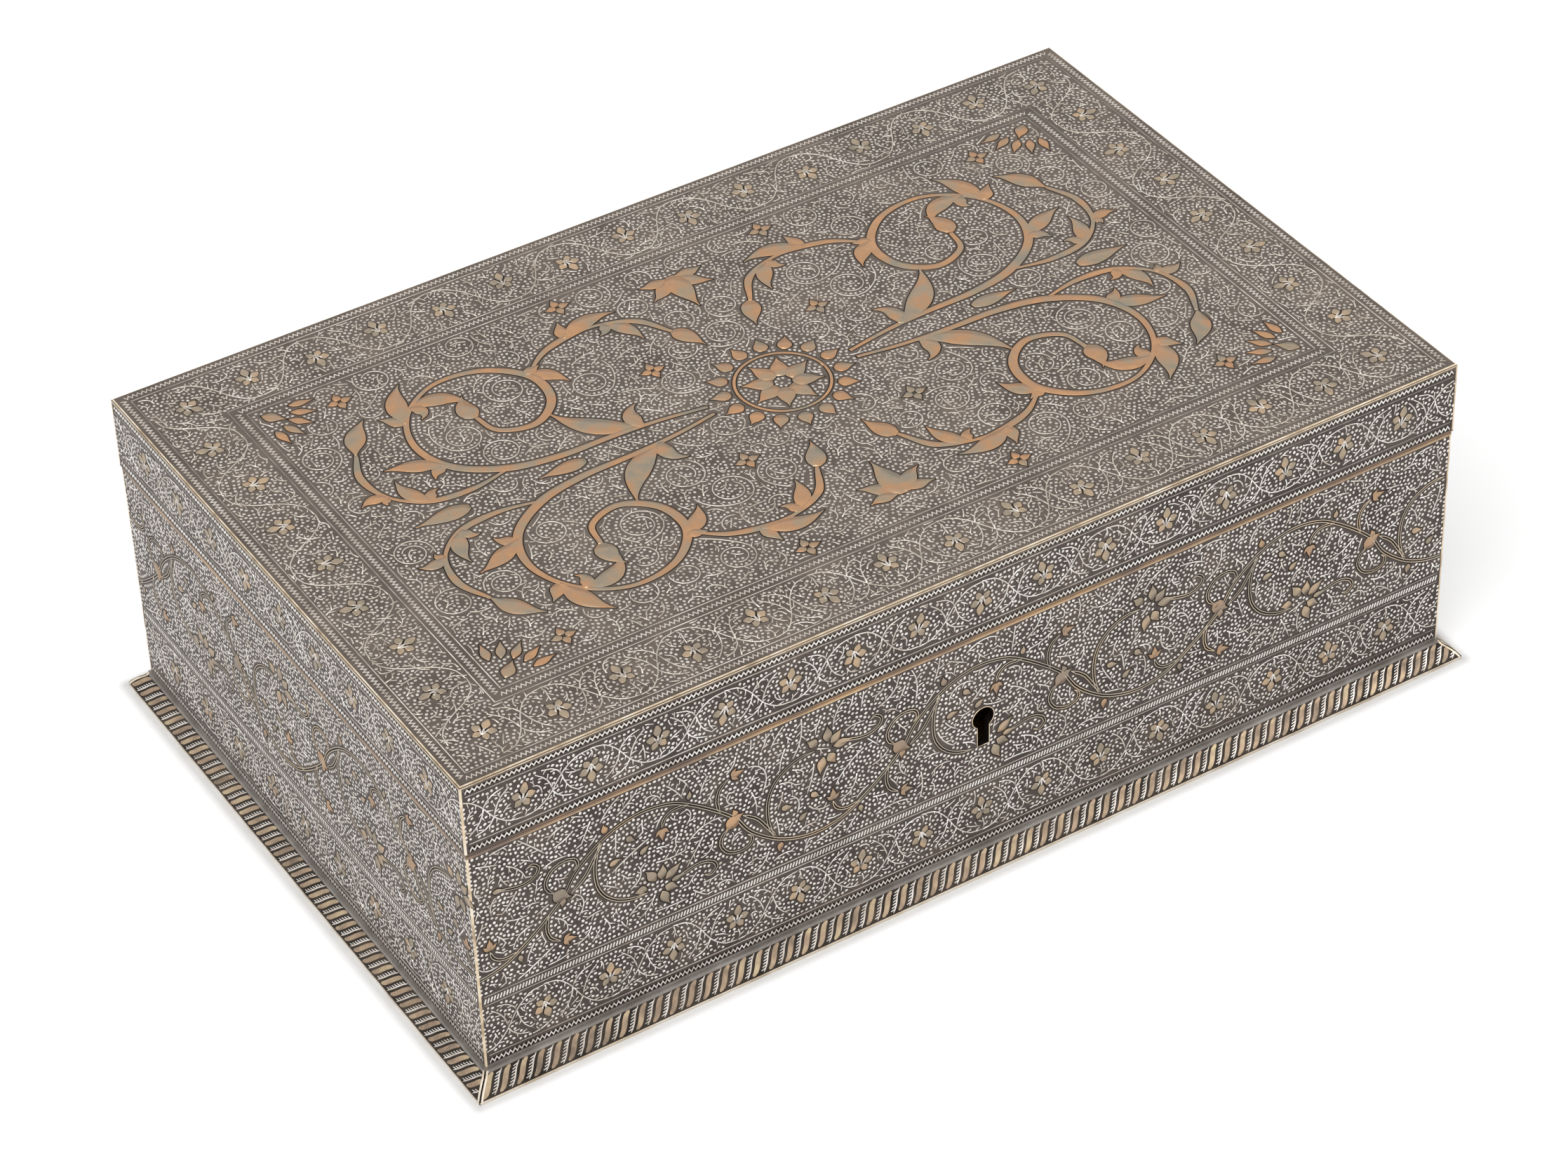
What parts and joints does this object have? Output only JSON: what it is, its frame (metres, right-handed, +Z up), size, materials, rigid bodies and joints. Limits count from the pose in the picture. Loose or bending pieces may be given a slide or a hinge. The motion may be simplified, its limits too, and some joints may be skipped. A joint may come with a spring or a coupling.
{
  "type": "inlaid steel casket",
  "caption": "Rectangular lidded steel box with gold and silver inlay, an ogee plinth, butt hinges behind, a wood lining and a box lock.",
  "frame": {"origin": "on the floor, under the middle of the plinth", "axes": "+X along the long front, +Y from the front to the hinges, +Z up"},
  "size_m": [0.289, 0.184, 0.0927],
  "materials": {
    "inlaid_steel": "darkened steel, close inlay of silver wire and dots",
    "plinth_steel": "darkened steel moulding, barred with gold and silver",
    "plain_steel": "darkened steel, filed",
    "lock_brass": "worn brass",
    "lining_wood": "oiled hardwood",
    "silver_inlay": "hammered silver wire, slightly tarnished",
    "gold_inlay": "hammered gold leaf and wire",
    "copper_gold_inlay": "reddish gold, burnished"
  },
  "bodies": {
    "casket_body": {"base_plate": "plain_steel", "front_wall": "inlaid_steel", "right_wall": "inlaid_steel", "back_wall": "inlaid_steel", "left_wall": "inlaid_steel", "plinth_front": "plinth_steel", "plinth_right": "plinth_steel", "plinth_back": "plinth_steel", "plinth_left": "plinth_steel", "lining_floor": "lining_wood", "lining_front": "lining_wood", "lining_back": "lining_wood", "lining_left": "lining_wood", "lining_right": "lining_wood", "hinge_leaf_body_left": "plain_steel", "hinge_leaf_body_right": "plain_steel", "hinge_rivet_body_left_1": "plain_steel", "hinge_rivet_body_left_2": "plain_steel", "hinge_rivet_body_left_3": "plain_steel", "hinge_rivet_body_right_1": "plain_steel", "hinge_rivet_body_right_2": "plain_steel", "hinge_rivet_body_right_3": "plain_steel", "hinge_pin_left": "plain_steel", "hinge_pin_right": "plain_steel", "lock_case": "plain_steel", "lock_spring": "plain_steel", "lock_guide_pin_1": "plain_steel", "lock_guide_pin_2": "plain_steel", "lock_stud_1": "plain_steel", "lock_stud_2": "plain_steel", "lock_stud_3": "plain_steel", "lock_stud_4": "plain_steel"},
    "lid": {"lid_top": "inlaid_steel", "lid_rim_front": "inlaid_steel", "lid_rim_right": "inlaid_steel", "lid_rim_back": "inlaid_steel", "lid_rim_left": "inlaid_steel", "lid_lining_panel": "lining_wood", "lid_lining_front": "lining_wood", "lid_lining_back": "lining_wood", "lid_lining_left": "lining_wood", "lid_lining_right": "lining_wood", "hinge_leaf_lid_left": "plain_steel", "hinge_leaf_lid_right": "plain_steel", "hinge_rivet_lid_left_1": "plain_steel", "hinge_rivet_lid_left_2": "plain_steel", "hinge_rivet_lid_left_3": "plain_steel", "hinge_rivet_lid_right_1": "plain_steel", "hinge_rivet_lid_right_2": "plain_steel", "hinge_rivet_lid_right_3": "plain_steel", "link_plate": "plain_steel", "link_stud_1": "plain_steel", "link_stud_2": "plain_steel", "lid_staple_left": "plain_steel", "lid_staple_right": "plain_steel"},
    "lock_bolt": {"lock_bolt": "lock_brass"}
  },
  "joints": [
    {"name": "lid_hinge", "type": "hinge", "parent": "casket_body", "child": "lid", "pos_m": [0, 0.08956, 0.0721], "axis": [-1, 0, 0], "range_deg": [0, 100]},
    {"name": "lock_bolt_slide", "type": "slide", "parent": "casket_body", "child": "lock_bolt", "axis": [1, 0, 0], "range_m": [0, 0.005]}
  ]
}
